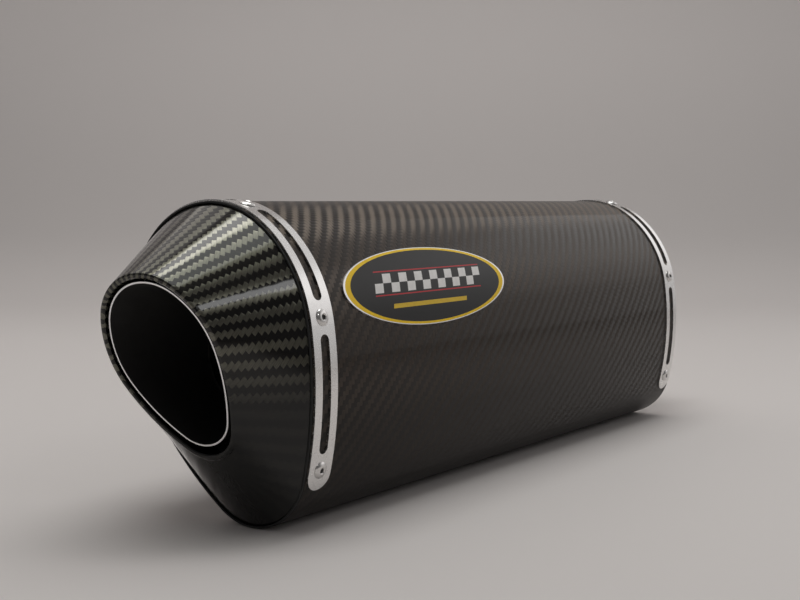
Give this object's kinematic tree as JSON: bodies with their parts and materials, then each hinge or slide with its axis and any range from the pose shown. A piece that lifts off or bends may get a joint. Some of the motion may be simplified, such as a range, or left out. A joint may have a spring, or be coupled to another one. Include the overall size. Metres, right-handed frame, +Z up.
{
  "type": "motorcycle silencer",
  "caption": "Oval carbon-fibre motorcycle silencer with a slanted outlet cap, riveted slotted steel bands, an oval badge and a round slip-on inlet pipe.",
  "frame": {"origin": "centre of the inlet pipe's open end, on the gas path's axis", "axes": "+X along the gas path, out of the inlet; the slanted outlet is at -X; +Z up as the silencer lies on a floor; the badge is on the -Y side"},
  "size_m": [0.5064, 0.1191, 0.154],
  "materials": {
    "carbon_satin": "satin clear-coated 2x2 twill carbon fibre",
    "carbon_gloss": "gloss clear-coated 2x2 twill carbon fibre",
    "outlet_steel": "blackened inside, bright cut edge",
    "pressed_steel": "satin",
    "core_steel": "perforated sheet",
    "steel_wool": "stainless wool",
    "glass_fibre": "long-strand glass packing",
    "pipe_steel": "satin",
    "weld_steel": "weld bead",
    "band_steel": "satin polished",
    "rivet_steel": "polished",
    "stem_steel": "dark",
    "sealant": "matte",
    "badge_enamel": "printed enamel, black field, yellow border"
  },
  "bodies": {
    "root": {"sleeve": "carbon_satin", "outlet_cap": "carbon_gloss", "outlet_tube": "outlet_steel", "inlet_cap": "pressed_steel", "outlet_seal": "sealant", "inlet_seal": "sealant", "outlet_plate": "pressed_steel", "inlet_plate": "pressed_steel", "core": "core_steel", "wool_wrap": "steel_wool", "packing": "glass_fibre", "core_joint": "pressed_steel", "inlet_pipe": "pipe_steel", "inlet_weld": "weld_steel", "spring_hook_left": "pipe_steel", "spring_hook_right": "pipe_steel", "outlet_band": "band_steel", "inlet_band": "band_steel", "outlet_rivets": "rivet_steel", "inlet_rivets": "rivet_steel", "outlet_rivet_stems": "stem_steel", "inlet_rivet_stems": "stem_steel", "badge": "badge_enamel"}
  },
  "joints": []
}
